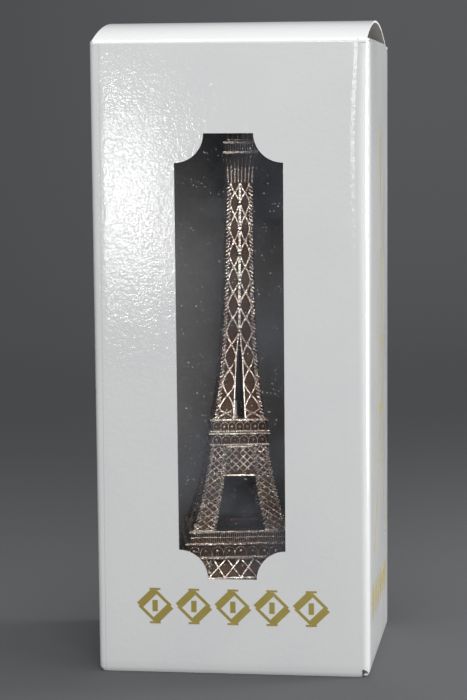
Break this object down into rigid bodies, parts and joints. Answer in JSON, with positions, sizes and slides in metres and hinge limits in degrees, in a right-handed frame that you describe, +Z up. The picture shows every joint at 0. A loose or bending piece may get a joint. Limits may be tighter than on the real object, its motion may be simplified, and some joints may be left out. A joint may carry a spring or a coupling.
{
  "type": "miniature landmark model",
  "caption": "Cast-metal miniature lattice tower standing in a white window carton with a bowed tuck lid; the tower lifts out as the lid and flaps open.",
  "frame": {"origin": "centre of the carton's underside, on the surface it stands on", "axes": "+Z up along the carton's height, -Y out of the window (front), +X to the right seen from the front"},
  "size_m": [0.068, 0.062, 0.161],
  "materials": {
    "white_board": "clay-coated white paperboard, gloss varnish outside",
    "grey_board": "uncoated grey recycled back of the paperboard",
    "clear_film": "clear glossy plastic film",
    "antique_bronze": "zinc alloy casting, antique bronze plating with bright rubbed edges",
    "screw_steel": "zinc-plated screw",
    "gold_foil": "hot-stamped satin gold foil, on the carton's front and right panels"
  },
  "bodies": {
    "carton": {"front_panel": "white_board", "back_panel": "white_board", "left_panel": "white_board", "right_panel": "white_board", "glue_flap": "grey_board", "window_film": "clear_film", "bottom_panel": "white_board", "bottom_inner_panel": "grey_board", "bottom_left_flap": "grey_board", "bottom_right_flap": "grey_board"},
    "tower": {"pedestal_front_left": "antique_bronze", "pedestal_front_right": "antique_bronze", "pedestal_back_left": "antique_bronze", "pedestal_back_right": "antique_bronze", "lower_leg_front_left": "antique_bronze", "lower_leg_front_right": "antique_bronze", "lower_leg_back_left": "antique_bronze", "lower_leg_back_right": "antique_bronze", "arch_front": "antique_bronze", "arch_right": "antique_bronze", "arch_back": "antique_bronze", "arch_left": "antique_bronze", "first_floor_deck": "antique_bronze", "first_floor_frieze": "antique_bronze", "first_floor_gallery": "antique_bronze", "upper_leg_front_left": "antique_bronze", "upper_leg_front_right": "antique_bronze", "upper_leg_back_left": "antique_bronze", "upper_leg_back_right": "antique_bronze", "belt_front": "antique_bronze", "belt_right": "antique_bronze", "belt_back": "antique_bronze", "belt_left": "antique_bronze", "second_floor_frieze": "antique_bronze", "second_floor_deck": "antique_bronze", "column": "antique_bronze", "column_screw": "screw_steel", "third_floor_bracket": "antique_bronze", "third_floor_gallery": "antique_bronze", "cabin": "antique_bronze", "lantern": "antique_bronze", "mast": "antique_bronze"},
    "lid": {"lid_panel": "white_board"},
    "tuck": {"tuck_flap": "white_board"},
    "dust_flap_left": {"left_dust_flap": "white_board"},
    "dust_flap_right": {"right_dust_flap": "white_board"}
  },
  "joints": [
    {"name": "tower_lift", "type": "slide", "parent": "carton", "child": "tower", "axis": [0, 0, 1], "range_m": [0, 0.16]},
    {"name": "lid_crease", "type": "hinge", "parent": "carton", "child": "lid", "pos_m": [0, -0.031, 0.157], "axis": [1, 0, 0], "range_deg": [0, 220]},
    {"name": "tuck_crease", "type": "hinge", "parent": "lid", "child": "tuck", "pos_m": [0, 0.0302, 0.157], "axis": [1, 0, 0], "range_deg": [0, 45]},
    {"name": "left_dust_flap_crease", "type": "hinge", "parent": "carton", "child": "dust_flap_left", "pos_m": [-0.0335, 0, 0.157], "axis": [0, -1, 0], "range_deg": [0, 95]},
    {"name": "right_dust_flap_crease", "type": "hinge", "parent": "carton", "child": "dust_flap_right", "pos_m": [0.0335, 0, 0.157], "axis": [0, 1, 0], "range_deg": [0, 95]}
  ],
  "couplings": [
    {"joint": "lid_crease", "follows": "tower_lift", "rad_per_m": 23.998},
    {"joint": "tuck_crease", "follows": "tower_lift", "rad_per_m": 4.908},
    {"joint": "left_dust_flap_crease", "follows": "tower_lift", "rad_per_m": 10.362},
    {"joint": "right_dust_flap_crease", "follows": "tower_lift", "rad_per_m": 10.362}
  ]
}
